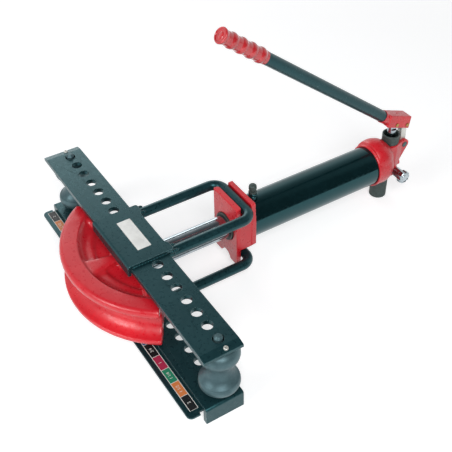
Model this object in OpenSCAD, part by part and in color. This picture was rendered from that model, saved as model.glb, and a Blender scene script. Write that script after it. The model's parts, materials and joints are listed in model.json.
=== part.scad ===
// Hydraulic pipe bender: two wing plates with a row of pin holes hold a pair of grooved rollers,
// and a ram pushes a grooved former out between them. A yoke block carries both U-bars of the
// wing frame and the ram cylinder, and a hand pump with a long lever closes the far end.
// Millimetres. +X runs from the former to the pump, +Y along the wings and +Z up.
// Inside the modules X is counted from the line of pin holes. The last lines move the whole
// machine so that the origin lies on the floor under the middle of it.

/* [Wings] */
// Thickness of both wing plates
wing_t = 10; // [8:0.5:12]
// Width of both wing plates
wing_w = 77; // [70:1:90]
// Distance from the front edge of a wing to its line of holes
wing_front = 46.5; // [42:0.5:52]
// Length of a wing beyond its outermost hole
wing_end = 31; // [28:1:40]
// Height of the lower wing's upper face above the floor
wing_height = 38; // [36:1:48]
// Clear height between the two wings
wing_gap = 119; // [114:1:126]
// Length of the bevel at each end of the upper wing
tip_len = 15; // [12:1:17]
// Drop of the bevel
tip_drop = 3.5; // [2:0.5:6]
// Outer bend radius of the lower wing's end tabs
tab_bend = 5; // [2:0.5:8]

/* [Pin holes] */
// Number of holes on each side
hole_count = 7; // [5:1:8]
// Distance of the innermost hole from the middle
hole_first = 89.5; // [88:0.5:100]
// Distance from hole to hole
hole_pitch = 34.6; // [30:0.2:38]
// Hole diameter
hole_d = 20.5; // [19.5:0.5:21.5]

/* [Rollers and pins] */
// Diameter of a roller pin inside the roller
pin_d = 24; // [23:0.5:26]
// Diameter of the pin's upper end, which the upper wing drops over
pin_top_d = 16; // [15:0.5:18]
// Height of the pin above the upper wing
pin_show = 8; // [6:1:16]
// Length of the pin below the lower wing
pin_below = 8; // [4:1:14]
// Largest diameter of a roller
roller_d = 75; // [70:1:80]
// Diameter of a roller at the bottom of its groove
roller_waist_d = 41; // [40:1:46]
// Radius of the roller's groove
roller_groove_r = 32; // [30:0.5:34]
// Wall of the roller's bronze bush
bush_t = 3; // [2:0.5:3.5]

/* [Wing saddles] */
// Length of a saddle along the wing
saddle_len = 150; // [130:2:156]
// Thickness of a saddle plate
saddle_t = 6.5; // [5:0.5:8]
// Length of a saddle behind the wing, over the ends of the U-bar
saddle_lap = 11.5; // [8:0.5:16]
// Depth of the lip that is bent over the wing's front edge
saddle_lip = 17; // [12:1:20]

/* [Label rail] */
// Width of the rail in front of the lower wing
rail_w = 30; // [24:1:36]
// Thickness of the rail
rail_t = 4; // [3:0.5:6]
// Distance of the rail's ends from the ends of the wing
rail_short = 6; // [2:1:12]
// Radius of the rail's front corners
rail_corner = 10; // [4:1:14]
// Width of the rail's tongue under the wing
rail_tongue = 18; // [12:1:24]

/* [U-bars] */
// Diameter of the round bar
bar_d = 21; // [19:0.5:21.5]
// Length of an arm from the wing to the middle of the cross bar
bar_arm = 192; // [180:0.5:230]
// Distance of an arm from the middle
bar_spread = 64.5; // [62:0.5:68]
// Bend radius of the bar's middle line
bar_bend = 24; // [22:0.5:26]

/* [Yoke block] */
// Thickness of the front plate
horn_t = 12.5; // [12:0.5:16]
// Half width of the front plate
horn_half = 44; // [42:0.5:45]
// Height of the front plate and the rear flange above the ram axis
horn_up = 69.5; // [66:0.5:72]
// Depth of the front plate's legs below the ram axis
leg_down = 78; // [74:0.5:84]
// Rounding of the front plate's back edges
horn_round = 7; // [5:0.5:9]
// Radius of the arch between the legs
arch_r = 17; // [15:0.5:20]
// Height of the arch above the ends of the legs
arch_up = 14; // [11:0.5:15]
// Room in a groove on each side of the cross bar
groove_room = 0.5; // [0.4:0.1:1.5]
// Thickness of the rear flange
flange_t = 10; // [8:0.5:14]
// Half width of the rear flange at its top
flange_half = 43; // [40:0.5:44]
// Half width of the rear flange at its widest
flange_wide = 47; // [46:0.5:49]
// Chamfer along the block's lower edges
block_chamfer = 11; // [8:0.5:14]

/* [Cylinder] */
// Outer diameter of the oil tube
tube_d = 87; // [84:1:88]
// Wall of the oil tube
tube_t = 5; // [4:0.5:6]
// Length of the oil tube in view
tube_len = 322.5; // [300:0.5:360]
// Inner diameter of the pressure barrel
barrel_bore = 56; // [55:0.5:58]
// Wall of the pressure barrel
barrel_t = 5; // [4:0.5:6]
// Distance of the vent screw from the yoke
vent_x = 21.5; // [16:0.5:30]

/* [Ram] */
// Diameter of the ram
ram_d = 48; // [45:0.5:49]
// Length of the ram in view
ram_out = 187; // [186:1:196]
// Diameter of the nose that the former sits on
nose_d = 40; // [36:0.5:42]
// Length of the nose
nose_len = 50; // [40:1:60]
// Bore of the hollow ram
ram_bore = 26; // [24:0.5:28]
// Distance of the piston behind the yoke
piston_at = 54; // [44:1:60]
// Length of the piston
piston_len = 32; // [26:1:40]

/* [Former] */
// Bend radius of the former, at the lips of its groove
bend_r = 212; // [200:1:220]
// Half angle of the former's arc
bend_half = 56; // [50:0.5:58]
// Radius of the groove
groove_r = 30.5; // [28:0.25:31]
// Height of the rim
former_h = 90; // [86:1:96]
// Width of the rim from its lip to the pocket
rim_w = 36; // [32:0.5:38]
// Outer rounding of the rim
rim_round = 9; // [6:0.5:10]
// Radius of the cove between rim and ledge
cove_r = 20; // [18:0.5:22]
// Width of the ledge inside the cove
ledge_w = 11; // [9:0.5:14]
// Depth of the ledge below the rim
ledge_drop = 13; // [11:0.5:14]
// Thickness of the web
web_t = 54; // [48:1:56]
// Width of the middle rib on the hub
rib_t = 16; // [12:1:22]
// Width of the middle rib where it meets the rim
rib_wide = 49; // [40:1:56]
// Depth of the ribs below the rim
rib_drop = 4; // [3:0.5:6]
// Distance from the arc's centre to the former's back face
hub_back = 60; // [56:1:66]
// Diameter of the hub
hub_d = 78; // [70:1:84]

/* [Pump body] */
// Diameter of the rim
head_d = 95; // [94:0.5:99]
// Length of the straight part behind the rim
drum_len = 24; // [20:1:26]
// Rounding of the rear edge
drum_round = 30; // [26:1:33]
// Distance of the plunger from the rim
plunger_at = 62; // [60:0.5:66]
// Radius of the ball that the upper side swells to
swell_r = 44; // [42:0.5:45]
// Distance of the ball's centre from the rim
swell_at = 18; // [16:0.5:22]
// Height of the ball's centre above the ram axis
swell_up = 14.5; // [12:0.5:16]
// Diameter of the plunger housing
housing_d = 40; // [39:0.5:42]
// Height of the housing's top above the ram axis
housing_up = 41; // [38:0.5:44]
// Depth of the housing below the ram axis
housing_down = 41.5; // [38:0.5:44]
// Thickness of the lug
lug_t = 27; // [24:0.5:30]
// Radius of the lug's tip
lug_r = 12; // [11:0.5:14]
// Distance of the lug's pin behind the plunger
lug_at = 32; // [30:0.5:36]
// Height of the lug's pin above the ram axis
lug_up = 29.5; // [26:0.5:34]
// Depth of the lug's root below the ram axis
lug_root = 30; // [26:0.5:32]
// Distance of the foot from the rim
foot_at = 45; // [43:0.5:47]

/* [Pump] */
// Diameter of the plunger
plunger_d = 20; // [18:0.5:20.5]
// Thickness of the plunger's eye
eye_t = 13.6; // [12:0.2:14]
// Outer diameter of the gland cup
cup_d = 38; // [34:0.5:40]
// Height of the gland cup
cup_h = 23; // [20:0.5:25]
// Diameter of the gland cup's mouth
cup_mouth_d = 32; // [30:0.5:33]
// Diameter of the pivot pins
pivot_d = 8; // [7:0.5:9]
// Thickness of the link
link_t = 13; // [11:0.5:13.4]
// Width of the link
link_w = 14; // [12:0.5:16]
// Distance of the link's upper pin behind the plunger
arm_x = 30; // [28:0.5:32]
// Height of the plunger's pin above the link's upper pin
arm_z = 10; // [8:0.5:12]
// Height of the link's upper pin above the ram axis
link_up = 82.5; // [80:0.5:88]

/* [Lever] */
// Width of the lever head
lever_w = 29; // [28:0.5:32]
// Slope of the lever head
lever_tilt = 20.9; // [18:0.1:24]
// Angle between lever head and handle
handle_bend = 16.9; // [12:0.1:20]
// Diameter of the handle tube
handle_d = 25; // [22:0.5:26]
// Wall of the handle tube
handle_t = 3; // [2:0.25:4]
// Length of the handle from lever head to tip
handle_len = 503; // [420:1:600]
// Length of the grip
grip_len = 117; // [100:1:130]
// Largest diameter of the grip
grip_d = 31; // [29:0.5:34]
// Number of ribs on the grip
grip_ribs = 5; // [4:1:6]

/* [Small parts] */
// Diameter of the rear foot
foot_d = 38; // [34:0.5:42]
// Height of the rear foot
foot_h = 52; // [51:0.5:53]
// Diameter of the release valve's knob
knob_d = 25; // [22:0.5:27]
// Length of the release valve's knob
knob_len = 12; // [9:0.5:16]
// Diameter of the vent screw's ball
vent_ball_d = 14; // [12:0.5:16]
// Diameter of the screws in the upper wing's ends
screw_d = 6; // [5:0.5:8]
// Diameter of their heads
screw_head_d = 11; // [9:0.5:13]
// Height of their heads
screw_head_h = 4; // [3:0.5:5]

/* [Fits] */
// Running clearance of a shaft in its bore, on the radius
run = 0.05; // [0.02:0.01:0.08]
// Gap between pieces that move past each other
gap = 0.4; // [0.3:0.05:0.6]

/* [Hidden] */
$fn = 96;
more = 1;

green = [0.16, 0.26, 0.26];
black_green = [0.07, 0.13, 0.13];
red = [0.82, 0.12, 0.14];
chrome = [0.84, 0.86, 0.88];
steel = [0.45, 0.52, 0.52];
bronze = [0.66, 0.5, 0.26];
rubber = [0.12, 0.14, 0.14];
zinc = [0.8, 0.8, 0.76];

// Heights
axis_z = wing_height + wing_gap / 2;
upper_top = wing_height + wing_gap + wing_t;
upper_low = wing_height + wing_gap;
lower_low = wing_height - wing_t;
bar_r = bar_d / 2;
bar_z = upper_top - bar_r;
lower_bar_z = 2 * axis_z - bar_z;

// Along the wings
hole_last = hole_first + hole_pitch * (hole_count - 1);
wing_half = hole_last + wing_end;
wing_back = wing_w - wing_front;
tip_angle = atan(tip_drop / tip_len);
screw_y = wing_half - tip_len / 2;
screw_z = upper_top - tip_drop / 2;
screw_deep = wing_t - tip_drop - 1;

// Along the machine
bar_x = wing_back + bar_arm;
groove_w = bar_d + 2 * groove_room;
horn_back = bar_x - groove_w / 2;
yoke_front = horn_back - horn_t;
yoke_back = bar_x + groove_w / 2 + flange_t;
former_back = yoke_front - ram_out;
arc_x = former_back + hub_back;
head_front = yoke_back + tube_len;
plunger_x = head_front + plunger_at;
lug_pin_x = plunger_x + lug_at;
lug_pin_z = axis_z + lug_up;
link_pin_x = plunger_x + arm_x;
link_pin_z = axis_z + link_up;
plunger_pin_z = link_pin_z + arm_z;
front_end = arc_x - bend_r;
back_end = lug_pin_x + lug_r;
middle_x = (front_end + back_end) / 2;

// Cylinder and seals
ram_r = ram_d / 2;
tube_r = tube_d / 2;
tube_in = tube_r - tube_t;
barrel_in = barrel_bore / 2;
barrel_out = barrel_in + barrel_t;
gland_r = barrel_in + 2;
gland_len = 12;
gland_show = 3;
wiper_len = 5;
wiper_r = ram_r + 3.5;
seal_len = 8;
spigot_len = 11;
barrel_seat = 4;
ring_at = 3.5;
ring_w = 3;
ring_deep = 2;
socket_len = 14;
barrel_end = 8;

// Former: height of the cove's centre above the rim, its distance from the arc's centre, the
// radius of the ledge's inner edge, the web's and the ribs' reach and the length of the closed
// end of the hub
cove_up = cove_r - ledge_drop - 0.4;
cove_at = bend_r - rim_w - sqrt(cove_r * cove_r - cove_up * cove_up);
ledge_r = cove_at - ledge_w;
web_reach = ledge_r + ledge_w / 2;
rib_reach = bend_r - rim_w + 4;
hub_cap = 6;

// Ram and return spring
ram_bore_r = ram_bore / 2;
tail_r = ram_r - 6;
piston_ring = 6;
anchor_seat = 14;
piston_x = yoke_back + piston_at + 3;
piston_r = barrel_in - 2 * run;
spring_front = 30;
spring_start = former_back + spring_front;
anchor_r = 5;
anchor_head = 4;
spring_out = ram_bore_r - 1;
spring_in = spring_out - 3;
anchor_x = piston_x + piston_len + 14;

// Pump
head_r = head_d / 2;
plunger_r = plunger_d / 2;
pivot_r = pivot_d / 2;
housing_top = axis_z + housing_up;
housing_low = axis_z - housing_down;
flat_half = housing_d / 2 + 0.5;
flat_front = plunger_x - housing_d / 2;
chamber_low = axis_z - 19.5;
plunger_low = axis_z - 1;
pin_proud = 2;
tongue_len = 16;
link_eye_r = link_w / 2 + 1.5;
gland_thread_r = plunger_r + 4;
gland_thread = 12;
packing_len = 6;
ball_r = 4.4;
ball_seat_r = 2.4;
ball_room_r = 4.5;
ball_sink = sqrt(ball_r * ball_r - ball_seat_r * ball_seat_r);
outlet_z = axis_z - 13.5;
outlet_seat = plunger_x - plunger_r - 5;
inlet_seat = chamber_low - 8;
inlet_z = axis_z - (barrel_out + tube_in) / 2;
barrel_stop = head_front + socket_len + barrel_end;
valve_x = plunger_x + 6;
valve_z = axis_z - 27.5;
valve_face = flat_half + 2;
valve_tip = 8;
valve_stem_len = 20;
valve_stem_r = 8.5;
valve_thread_r = 5;
valve_spigot_r = 4;
inlet_r = 2;
retainer_t = 2;
foot_x = head_front + foot_at;
foot_boss = 17;
foot_bolt_r = 4;
bolt_head_r = 8;
bolt_head_t = 5;
bolt_top = inlet_z - inlet_r - 1;
foot_sink = 9;
plug_z = axis_z - 25;
plug_len = 33;
plug_r = 7.5;
lug_neck = [lug_pin_x - 14, axis_z - 17];

// Lever, in its own frame: origin at the link's upper pin, handle towards -x
lug_slot = link_t + 2 * gap;
lever_slot = max(eye_t, link_t) + 2 * gap + 0.8;
lever_top = 20;
lever_low = -8;
lever_rear = 9;
lever_front = -59;
lever_roof = 9.5;
handle_x = -74.3;
handle_z = 12.3;
socket_deep = 24;
handle_r = handle_d / 2;
socket_r = handle_r + 1.5;
grip_r = grip_d / 2;
grip_cap = 12;
eye_r = 10.5;
eye_play = 1.3;
vent_at = yoke_back + vent_x;
vent_boss_r = 8;
vent_boss_top = axis_z + tube_r + 10;
vent_thread_r = 4;

function hole_y(i) = hole_first + hole_pitch * i;

// Round bar along X on the ram axis
module bar_x_axis(x, len, r) {
    translate([x, 0, axis_z]) rotate([0, 90, 0]) cylinder(h = len, r = r);
}

// Ring along X on the ram axis
module ring_x_axis(x, len, r_out, r_in) {
    difference() {
        bar_x_axis(x, len, r_out);
        bar_x_axis(x - more, len + 2 * more, r_in);
    }
}

// Round bar along Y, even on both sides of the middle
module bar_y_axis(x, z, len, r) {
    translate([x, 0, z]) rotate([90, 0, 0]) cylinder(h = len, r = r, center = true);
}

// Outline in X and Z, given a width along Y
module slab_y(width) {
    rotate([90, 0, 0]) linear_extrude(width, center = true) children();
}

// Outline in Y and Z, drawn out along X
module slab_x(x, len) {
    translate([x, 0, 0]) rotate([90, 0, 90]) linear_extrude(len) children();
}

// The lower frame mirrors the upper one about the ram axis
module mirrored() {
    translate([0, 0, 2 * axis_z]) mirror([0, 0, 1]) children();
}

module both_sides() {
    children();
    mirror([0, 1, 0]) children();
}

module pin_holes(z) {
    both_sides() for (i = [0 : hole_count - 1])
        translate([0, hole_y(i), z]) cylinder(h = wing_t + 2 * more, d = hole_d);
}

module at_tip() {
    translate([0, screw_y, screw_z]) rotate([-tip_angle, 0, 0]) children();
}

module upper_wing() {
    color(green) difference() {
        slab_x(-wing_front, wing_w) polygon([
            [-wing_half, upper_top - tip_drop], [tip_len - wing_half, upper_top],
            [wing_half - tip_len, upper_top], [wing_half, upper_top - tip_drop],
            [wing_half, upper_low], [-wing_half, upper_low]
        ]);
        pin_holes(upper_low - more);
        both_sides() at_tip() translate([0, 0, -screw_deep])
            cylinder(h = wing_t, d = screw_d);
    }
}

module wing_end_screws() {
    color(zinc) both_sides() at_tip() {
        translate([0, 0, -screw_deep]) cylinder(h = screw_deep + more, d = screw_d);
        intersection() {
            cylinder(h = screw_head_h, d = screw_head_d);
            translate([0, 0, -screw_head_h / 2]) sphere(r = screw_head_d * 0.64);
        }
    }
}

module lower_wing() {
    color(green) difference() {
        slab_x(-wing_front, wing_w) {
            translate([-wing_half + tab_bend, lower_low])
                square([2 * (wing_half - tab_bend), wing_t]);
            both_sides_2d() {
                translate([wing_half - wing_t, 0]) square([wing_t, wing_height - tab_bend]);
                intersection() {
                    translate([wing_half - tab_bend, wing_height - tab_bend]) circle(tab_bend);
                    translate([wing_half - tab_bend, wing_height - tab_bend]) square(tab_bend);
                }
            }
        }
        pin_holes(lower_low - more);
    }
}

// Mirrors a flat outline left to right
module both_sides_2d() {
    children();
    mirror([1, 0]) children();
}

// Mirrors a flat outline top to bottom
module both_sides_y2d() {
    children();
    mirror([0, 1]) children();
}

// Plate on a wing with its front lip bent round the wing's edge
module saddle() {
    slab_y(saddle_len) {
        translate([-wing_front, upper_top]) square([wing_w + saddle_lap, saddle_t]);
        translate([-wing_front - saddle_t, upper_top - saddle_lip]) square([saddle_t, saddle_lip]);
        intersection() {
            translate([-wing_front, upper_top]) circle(saddle_t);
            translate([-wing_front - saddle_t, upper_top]) square(saddle_t);
        }
    }
}

module upper_saddle() {
    color(green) saddle();
}

module lower_saddle() {
    color(green) mirrored() saddle();
}

// Bent round bar whose arms end flat on the back edge of the wing
module u_bar() {
    translate([0, 0, bar_z]) {
        both_sides() {
            translate([wing_back, bar_spread, 0]) rotate([0, 90, 0])
                cylinder(h = bar_arm - bar_bend, r = bar_r);
            translate([bar_x - bar_bend, bar_spread - bar_bend, 0])
                rotate_extrude(angle = 90) translate([bar_bend, 0]) circle(bar_r);
        }
        translate([bar_x, 0, 0]) rotate([90, 0, 0])
            cylinder(h = 2 * (bar_spread - bar_bend), r = bar_r, center = true);
    }
}

module upper_u_bar() {
    color(green) u_bar();
}

module lower_u_bar() {
    color(green) mirrored() u_bar();
}

// Narrow shelf in front of the lower wing, with two tongues under it beside the saddle
module label_rail() {
    rail_half = wing_half - rail_short;
    rail_front = -wing_front - rail_w;
    tongue_in = saddle_len / 2 + 4;
    tongue_out = wing_half - wing_t - 2;
    color(green) translate([0, 0, lower_low - rail_t]) linear_extrude(rail_t) {
        translate([rail_front + rail_corner, -rail_half])
            square([rail_w - rail_corner - saddle_t - gap, 2 * rail_half]);
        translate([rail_front, rail_corner - rail_half])
            square([rail_corner, 2 * (rail_half - rail_corner)]);
        both_sides_y2d() {
            translate([rail_front + rail_corner, rail_half - rail_corner]) circle(rail_corner);
            translate([rail_front + rail_corner, tongue_in])
                square([rail_w - rail_corner + rail_tongue, tongue_out - tongue_in]);
        }
    }
}

// Pin with a shoulder on the lower wing and a chamfered upper end
module roller_pin() {
    translate([0, hole_last, 0]) rotate_extrude() polygon([
        [0, lower_low - pin_below], [hole_d / 2 - 2, lower_low - pin_below],
        [hole_d / 2 - 0.1, lower_low - pin_below + 2], [hole_d / 2 - 0.1, wing_height],
        [pin_d / 2, wing_height], [pin_d / 2, upper_low - gap], [pin_top_d / 2, upper_low - gap],
        [pin_top_d / 2, upper_top + pin_show - 5], [pin_top_d / 2 - 3.5, upper_top + pin_show],
        [0, upper_top + pin_show]
    ]);
}

module near_roller_pin() {
    color(steel) mirror([0, 1, 0]) roller_pin();
}

module far_roller_pin() {
    color(steel) roller_pin();
}

// Spool with a round groove between two bulging ends, each with a collar
module roller() {
    bulge_r = 19;
    bulge_up = 23.5;
    collar_r = 21;
    collar_len = 12;
    bore_r = pin_d / 2 + run + bush_t;
    length = wing_gap - 2 * gap;
    translate([0, hole_last, wing_height + gap]) rotate_extrude() difference() {
        intersection() {
            translate([bore_r, 0]) square([roller_d, length]);
            union() {
                for (z = [bulge_up, length - bulge_up])
                    translate([roller_d / 2 - bulge_r, z]) circle(bulge_r);
                for (z = [0, length - collar_len]) translate([0, z]) square([collar_r, collar_len]);
                translate([0, bulge_up]) square([roller_d / 2 - 6.5, length - 2 * bulge_up]);
            }
        }
        translate([roller_waist_d / 2 + roller_groove_r, length / 2]) circle(roller_groove_r);
    }
}

module roller_bush() {
    translate([0, hole_last, wing_height + gap]) rotate_extrude()
        translate([pin_d / 2 + run, 0]) square([bush_t, wing_gap - 2 * gap]);
}

module near_roller() {
    color(steel) mirror([0, 1, 0]) roller();
}

module near_roller_bush() {
    color(bronze) mirror([0, 1, 0]) roller_bush();
}

module far_roller() {
    color(steel) roller();
}

module far_roller_bush() {
    color(bronze) roller_bush();
}

module yoke_block() {
    leg_end = axis_z - leg_down;
    flange_front = yoke_back - flange_t;
    block_front = yoke_front + horn_t / 2;
    color(red) difference() {
        union() {
            translate([yoke_front, 0, leg_end]) linear_extrude(leg_down + horn_up) horn_outline();
            slab_x(block_front, flange_front + flange_t / 2 - block_front) block_outline();
            slab_x(flange_front, flange_t) flange_outline();
            bar_x_axis(yoke_back, spigot_len, tube_in);
        }
        translate([yoke_front - more, 0, leg_end + arch_up - arch_r]) rotate([0, 90, 0])
            cylinder(h = horn_t + 2 * more, r = arch_r);
        bar_x_axis(yoke_front - more, yoke_back - yoke_front + spigot_len + 2 * more, barrel_in);
        bar_x_axis(yoke_front - more, gland_len + more, gland_r);
        bar_x_axis(yoke_back + barrel_seat, spigot_len, barrel_out);
        ring_x_axis(yoke_back + ring_at, ring_w, tube_in + more, tube_in - ring_deep);
    }
}

// Middle of the block in Y and Z: its top is the upper bar's seat, its underside rests on the
// lower bar and is chamfered along both sides
module block_outline() {
    half = horn_half + 1;
    top = bar_z - bar_r - gap;
    low = lower_bar_z + bar_r;
    both_sides_2d() polygon([
        [-more, low], [half - block_chamfer, low], [half, low + block_chamfer], [half, top],
        [-more, top]
    ]);
}

// Rear flange in Y and Z, widest a little above the ram axis
module flange_outline() {
    wide_up = 24.5;
    wide_down = 34;
    low = tube_r + 2.5;
    both_sides_2d() polygon([
        [-more, axis_z - low], [flange_wide - 13, axis_z - low], [flange_wide, axis_z - wide_down],
        [flange_wide, axis_z + wide_up], [flange_half, axis_z + horn_up], [-more, axis_z + horn_up]
    ]);
}

// Front plate seen from above, with round back edges that stay clear of the U-bar's bends
module horn_outline() {
    straight = horn_half - horn_round;
    intersection() {
        translate([0, -horn_half]) square([horn_t, 2 * horn_half]);
        union() {
            translate([0, -horn_half]) square([horn_t - horn_round, 2 * horn_half]);
            translate([0, -straight]) square([horn_t, 2 * straight]);
            for (side = [-1, 1])
                translate([horn_t - horn_round, side * straight]) circle(horn_round);
        }
    }
}

module gland_nut() {
    color(rubber) difference() {
        bar_x_axis(yoke_front - gland_show, gland_len + gland_show, gland_r);
        bar_x_axis(yoke_front - gland_show - more, gland_len + gland_show + 2 * more, ram_r + gap);
        bar_x_axis(yoke_front - gland_show - more, wiper_len + more, wiper_r);
    }
}

module rod_wiper() {
    color(rubber) ring_x_axis(yoke_front - gland_show, wiper_len, wiper_r, ram_r + run);
}

module rod_seal() {
    color(rubber) ring_x_axis(yoke_front + gland_len, seal_len, barrel_in, ram_r + run);
}

module guide_bush() {
    bush_x = yoke_front + gland_len + seal_len;
    color(bronze) ring_x_axis(bush_x, yoke_back - bush_x, barrel_in, ram_r + run);
}

module cylinder_tube() {
    color(black_green) difference() {
        ring_x_axis(yoke_back, tube_len + socket_len, tube_r, tube_in);
        translate([vent_at, 0, axis_z]) cylinder(h = tube_r + more, r = 2);
    }
}

module inner_barrel() {
    barrel_x = yoke_back + barrel_seat;
    color(steel) ring_x_axis(barrel_x, barrel_stop - barrel_x, barrel_out, barrel_in);
}

module front_o_ring() {
    color(rubber) ring_x_axis(yoke_back + ring_at, ring_w, tube_in, tube_in - ring_deep);
}

module rear_o_ring() {
    color(rubber) ring_x_axis(head_front + ring_at, ring_w, tube_r + ring_deep, tube_r);
}

// Boss on the tube that the vent screw turns in
module vent_boss() {
    color(black_green) difference() {
        translate([vent_at, 0, axis_z + tube_r - 3])
            cylinder(h = vent_boss_top - axis_z - tube_r + 3, r = vent_boss_r);
        bar_x_axis(vent_at - 2 * vent_boss_r, 4 * vent_boss_r, tube_r);
        translate([vent_at, 0, axis_z]) cylinder(h = vent_boss_top, r = vent_thread_r);
    }
}

module vent_screw() {
    neck = 5;
    color(rubber) translate([vent_at, 0, vent_boss_top + gap]) rotate_extrude() {
        translate([0, -vent_boss_top - gap + axis_z + tube_r + 1])
            square([vent_thread_r - run, vent_boss_top + gap - axis_z - tube_r]);
        square([vent_boss_r - 2, neck]);
        translate([0, neck]) square([vent_boss_r - 4, vent_ball_d / 2]);
        intersection() {
            translate([0, neck + vent_ball_d / 2 + 1]) circle(d = vent_ball_d);
            square([vent_ball_d, neck + vent_ball_d + 2]);
        }
    }
}

// Half section of the pump body's drum: radius across, length from the rim upwards
module drum_outline() {
    end_r = head_r - drum_round;
    square([head_r, drum_len]);
    square([end_r, drum_len + drum_round]);
    intersection() {
        translate([end_r, drum_len]) circle(drum_round);
        square([head_r, drum_len + drum_round]);
    }
}

function lug_tip(a) = [lug_pin_x + lug_r * cos(a), lug_pin_z + lug_r * sin(a)];

module lug_outline() {
    translate([lug_pin_x, lug_pin_z]) circle(lug_r);
    polygon([
        [flat_front, axis_z - lug_root], [valve_x + 2, axis_z - lug_root], lug_neck,
        lug_tip(-25), lug_tip(110), [flat_front, housing_top - 1]
    ]);
}

// Plan of housing and lug: flat sides, drawn in to the lug's thickness before its pin
module lug_plan() {
    polygon([
        [flat_front, -flat_half], [plunger_x + 4, -flat_half], [lug_pin_x - 7, -lug_t / 2],
        [back_end + 1, -lug_t / 2], [back_end + 1, lug_t / 2], [lug_pin_x - 7, lug_t / 2],
        [plunger_x + 4, flat_half], [flat_front, flat_half]
    ]);
}

module lug_block() {
    intersection() {
        slab_y(2 * flat_half + 2) lug_outline();
        linear_extrude(housing_top + 2 * lug_r) lug_plan();
    }
}

module pump_body() {
    socket_x = head_front + socket_len;
    color(red) difference() {
        union() {
            translate([head_front, 0, axis_z]) rotate([0, 90, 0]) rotate_extrude() drum_outline();
            swelling();
            translate([plunger_x, 0, housing_low])
                cylinder(h = housing_top - housing_low, d = housing_d);
            lug_block();
            translate([valve_x, 0, valve_z]) rotate([90, 0, 0])
                cylinder(h = valve_face, r = 2 * valve_thread_r);
            translate([plunger_x, 0, plug_z]) rotate([0, 90, 0]) cylinder(h = plug_len, r = plug_r);
            translate([foot_x, 0, foot_h]) cylinder(h = axis_z - foot_h - 10, r = foot_boss);
        }
        translate([plunger_x, 0, housing_top]) cylinder(h = swell_r, d = cup_d + 3);
        bar_x_axis(head_front - more, socket_len + more, tube_r);
        bar_x_axis(head_front - more, socket_len + barrel_end + more, barrel_out);
        ring_x_axis(head_front + ring_at, ring_w, tube_r + ring_deep, tube_r - more);
        bar_x_axis(barrel_stop - more, anchor_seat + more, anchor_r);
        translate([lug_pin_x - link_eye_r - 2, -lug_slot / 2, lug_pin_z - lug_r - 2])
            cube([3 * lug_r, lug_slot, 3 * lug_r]);
        bar_y_axis(lug_pin_x, lug_pin_z, lug_t + 2 * more, pivot_r);
        pump_passages(socket_x);
        translate([valve_x, -valve_tip, valve_z]) rotate([90, 0, 0])
            cylinder(h = valve_face, r = valve_thread_r);
        translate([foot_x, 0, 0]) cylinder(h = foot_h, d = foot_d + 2);
        translate([foot_x, 0, foot_h - more])
            cylinder(h = bolt_top - foot_h + more, r = foot_bolt_r);
    }
}

// Ball that swells out of the drum's upper side, cut off behind the rim
module swelling() {
    intersection() {
        translate([head_front + swell_at, 0, axis_z + swell_up]) sphere(swell_r);
        translate([head_front + 3, -head_d / 2, axis_z - swell_r])
            cube([2 * swell_r, head_d, 3 * swell_r]);
    }
}

// Plunger chamber, gland thread and the ways in and out past the two check balls
module pump_passages(socket_x) {
    translate([plunger_x, 0, 0]) {
        translate([0, 0, chamber_low])
            cylinder(h = housing_top - chamber_low + more, r = plunger_r + run);
        translate([0, 0, housing_top - gland_thread - packing_len])
            cylinder(h = gland_thread + packing_len + more, r = gland_thread_r);
        translate([0, 0, inlet_seat]) cylinder(h = chamber_low - inlet_seat + more, r = ball_room_r);
        translate([0, 0, inlet_z]) cylinder(h = inlet_seat - inlet_z + more, r = ball_seat_r);
    }
    translate([socket_x - more, 0, inlet_z]) rotate([0, 90, 0])
        cylinder(h = plunger_x - socket_x + more, r = inlet_r);
    translate([barrel_stop - more, 0, outlet_z]) rotate([0, 90, 0])
        cylinder(h = outlet_seat - barrel_stop + more, r = ball_room_r);
    translate([outlet_seat - more, 0, outlet_z]) rotate([0, 90, 0])
        cylinder(h = plunger_x - outlet_seat + more, r = ball_seat_r);
}

module outlet_ball() {
    color(steel) translate([outlet_seat - ball_sink, 0, outlet_z]) sphere(ball_r);
}

// The check spring's coil is drawn as a plain sleeve
module outlet_spring() {
    spring_x = barrel_stop + retainer_t;
    color(steel) translate([spring_x, 0, outlet_z]) rotate([0, 90, 0]) difference() {
        cylinder(h = outlet_seat - 2 * ball_sink - spring_x, r = ball_seat_r + 1.2);
        translate([0, 0, -more])
            cylinder(h = outlet_seat - 2 * ball_sink - spring_x + 2 * more, r = ball_seat_r);
    }
}

module outlet_retainer() {
    color(steel) translate([barrel_stop, 0, outlet_z]) rotate([0, 90, 0]) difference() {
        cylinder(h = retainer_t, r = ball_room_r);
        translate([0, 0, -more]) cylinder(h = retainer_t + 2 * more, r = ball_seat_r - 0.4);
    }
}

module inlet_ball() {
    color(steel) translate([plunger_x, 0, inlet_seat + ball_sink]) sphere(ball_r);
}

// Rod from the pump body into the hollow ram, which holds the return spring's end
module spring_anchor() {
    color(steel) {
        bar_x_axis(anchor_x, barrel_stop + anchor_seat - anchor_x, anchor_r);
        bar_x_axis(anchor_x, anchor_head, spring_in + 1);
    }
}

// The return spring's coil is drawn as a plain sleeve
module return_spring() {
    color(steel) ring_x_axis(spring_start, anchor_x - spring_start, spring_out, spring_in);
}

module pump_gland() {
    color(rubber) translate([plunger_x, 0, housing_top]) difference() {
        union() {
            translate([0, 0, -gland_thread]) cylinder(h = gland_thread + more, r = gland_thread_r);
            cylinder(h = cup_h, d = cup_d);
        }
        translate([0, 0, 6]) cylinder(h = cup_h, d = cup_mouth_d);
        translate([0, 0, -gland_thread - more])
            cylinder(h = gland_thread + cup_h, r = plunger_r + run);
    }
}

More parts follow.
